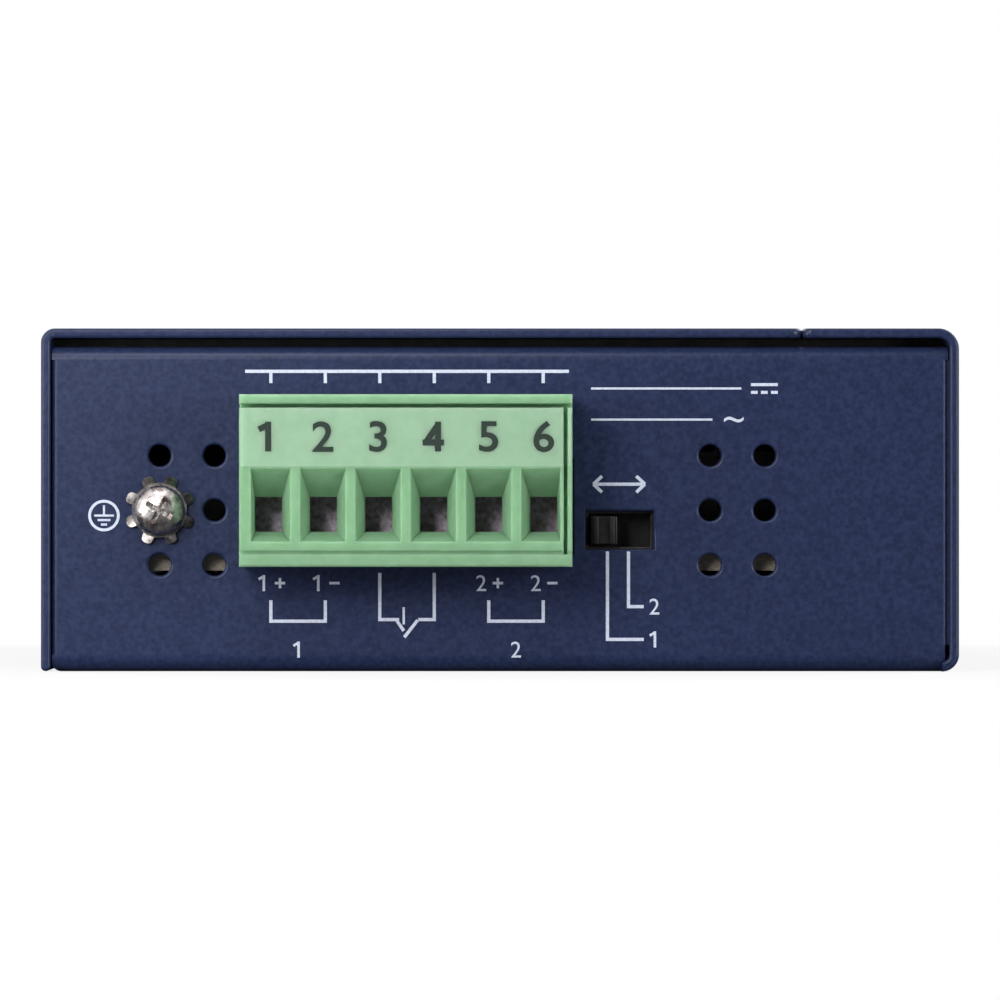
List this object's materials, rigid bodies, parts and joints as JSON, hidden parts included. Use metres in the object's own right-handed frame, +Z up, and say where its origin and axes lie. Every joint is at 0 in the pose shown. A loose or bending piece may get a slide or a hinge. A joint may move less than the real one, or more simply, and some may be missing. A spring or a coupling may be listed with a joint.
{
  "type": "industrial media converter",
  "caption": "Flat folded-steel network converter box with a pluggable screw terminal, slide switch and earth screw on one end, data ports on a long wall and a board inside.",
  "frame": {"origin": "middle of the chassis floor's underside, on the surface that the box rests on", "axes": "+Z up from the floor, +Y from the power panel to the far panel, +X towards the port wall"},
  "size_m": [0.0864, 0.145, 0.032],
  "materials": {
    "powder_coat": "fine textured powder coat, satin",
    "nickel_steel": "bright nickel plate",
    "plug_plastic": "moulded, satin",
    "contact_metal": "tinned",
    "clamp_metal": "zinc plate",
    "black_plastic": "moulded, satin",
    "port_metal": "bright tin plate",
    "clear_plastic": "clear, polished ends",
    "lamp_plastic": "milky",
    "board_laminate": "green solder mask",
    "ferrite": "matt grey",
    "copper_winding": "enamelled wire",
    "bobbin_plastic": "yellow tape over the winding",
    "can_sleeve": "shrunk sleeve",
    "bare_aluminium": "extruded"
  },
  "bodies": {
    "chassis": {"alarm_relay": "black_plastic", "base_chassis": "powder_coat", "board_screws": "nickel_steel", "board_standoffs": "nickel_steel", "bridge_rectifier": "black_plastic", "bulk_capacitors": "can_sleeve", "choke_core": "ferrite", "choke_windings": "copper_winding", "clip_nuts": "nickel_steel", "cover": "powder_coat", "cover_screws": "nickel_steel", "crystal_can": "port_metal", "earth_nut": "nickel_steel", "earth_screw": "nickel_steel", "earth_washer": "nickel_steel", "fibre_cage_1": "port_metal", "fibre_cage_2": "port_metal", "fibre_connectors": "black_plastic", "header_pins": "contact_metal", "heat_sink": "bare_aluminium", "indicator_leds": "lamp_plastic", "input_fuse": "black_plastic", "lan_jack_contacts": "contact_metal", "lan_jack_insert": "black_plastic", "lan_jack_shell": "port_metal", "lan_transformer": "black_plastic", "light_pipes": "clear_plastic", "main_board": "board_laminate", "main_chip": "black_plastic", "memory_chip": "black_plastic", "power_inductor": "black_plastic", "surge_suppressor": "black_plastic", "switch_body": "black_plastic", "switch_pins": "contact_metal", "terminal_header": "plug_plastic", "transformer_bobbin": "bobbin_plastic", "transformer_core": "ferrite"},
    "plug": {"terminal_plug": "plug_plastic", "plug_contacts": "contact_metal"},
    "knob": {"switch_knob": "black_plastic"},
    "clamp_screw_1": {"clamp_screw_1": "clamp_metal"},
    "clamp_cage_1": {"clamp_cage_1": "clamp_metal"},
    "clamp_screw_2": {"clamp_screw_2": "clamp_metal"},
    "clamp_cage_2": {"clamp_cage_2": "clamp_metal"},
    "clamp_screw_3": {"clamp_screw_3": "clamp_metal"},
    "clamp_cage_3": {"clamp_cage_3": "clamp_metal"},
    "clamp_screw_4": {"clamp_screw_4": "clamp_metal"},
    "clamp_cage_4": {"clamp_cage_4": "clamp_metal"},
    "clamp_screw_5": {"clamp_screw_5": "clamp_metal"},
    "clamp_cage_5": {"clamp_cage_5": "clamp_metal"},
    "clamp_screw_6": {"clamp_screw_6": "clamp_metal"},
    "clamp_cage_6": {"clamp_cage_6": "clamp_metal"}
  },
  "joints": [
    {"name": "plug_pull", "type": "slide", "parent": "chassis", "child": "plug", "axis": [0, -1, 0], "range_m": [0, 0.009]},
    {"name": "knob_slide", "type": "slide", "parent": "chassis", "child": "knob", "axis": [1, 0, 0], "range_m": [0, 0.0028]},
    {"name": "clamp_turn_1", "type": "hinge", "parent": "plug", "child": "clamp_screw_1", "pos_m": [-0.02137, -0.0711, 0.0225], "axis": [0, 0, -1], "range_deg": [0, 1440]},
    {"name": "cage_lift_1", "type": "slide", "parent": "plug", "child": "clamp_cage_1", "axis": [0, 0, 1], "range_m": [0, 0.002]},
    {"name": "clamp_turn_2", "type": "hinge", "parent": "plug", "child": "clamp_screw_2", "pos_m": [-0.01629, -0.0711, 0.0225], "axis": [0, 0, -1], "range_deg": [0, 1440]},
    {"name": "cage_lift_2", "type": "slide", "parent": "plug", "child": "clamp_cage_2", "axis": [0, 0, 1], "range_m": [0, 0.002]},
    {"name": "clamp_turn_3", "type": "hinge", "parent": "plug", "child": "clamp_screw_3", "pos_m": [-0.01121, -0.0711, 0.0225], "axis": [0, 0, -1], "range_deg": [0, 1440]},
    {"name": "cage_lift_3", "type": "slide", "parent": "plug", "child": "clamp_cage_3", "axis": [0, 0, 1], "range_m": [0, 0.002]},
    {"name": "clamp_turn_4", "type": "hinge", "parent": "plug", "child": "clamp_screw_4", "pos_m": [-0.00613, -0.0711, 0.0225], "axis": [0, 0, -1], "range_deg": [0, 1440]},
    {"name": "cage_lift_4", "type": "slide", "parent": "plug", "child": "clamp_cage_4", "axis": [0, 0, 1], "range_m": [0, 0.002]},
    {"name": "clamp_turn_5", "type": "hinge", "parent": "plug", "child": "clamp_screw_5", "pos_m": [-0.00105, -0.0711, 0.0225], "axis": [0, 0, -1], "range_deg": [0, 1440]},
    {"name": "cage_lift_5", "type": "slide", "parent": "plug", "child": "clamp_cage_5", "axis": [0, 0, 1], "range_m": [0, 0.002]},
    {"name": "clamp_turn_6", "type": "hinge", "parent": "plug", "child": "clamp_screw_6", "pos_m": [0.00403, -0.0711, 0.0225], "axis": [0, 0, -1], "range_deg": [0, 1440]},
    {"name": "cage_lift_6", "type": "slide", "parent": "plug", "child": "clamp_cage_6", "axis": [0, 0, 1], "range_m": [0, 0.002]}
  ],
  "couplings": [
    {"joint": "clamp_turn_1", "follows": "cage_lift_1", "rad_per_m": 12566},
    {"joint": "clamp_turn_2", "follows": "cage_lift_2", "rad_per_m": 12566},
    {"joint": "clamp_turn_3", "follows": "cage_lift_3", "rad_per_m": 12566},
    {"joint": "clamp_turn_4", "follows": "cage_lift_4", "rad_per_m": 12566},
    {"joint": "clamp_turn_5", "follows": "cage_lift_5", "rad_per_m": 12566},
    {"joint": "clamp_turn_6", "follows": "cage_lift_6", "rad_per_m": 12566}
  ]
}
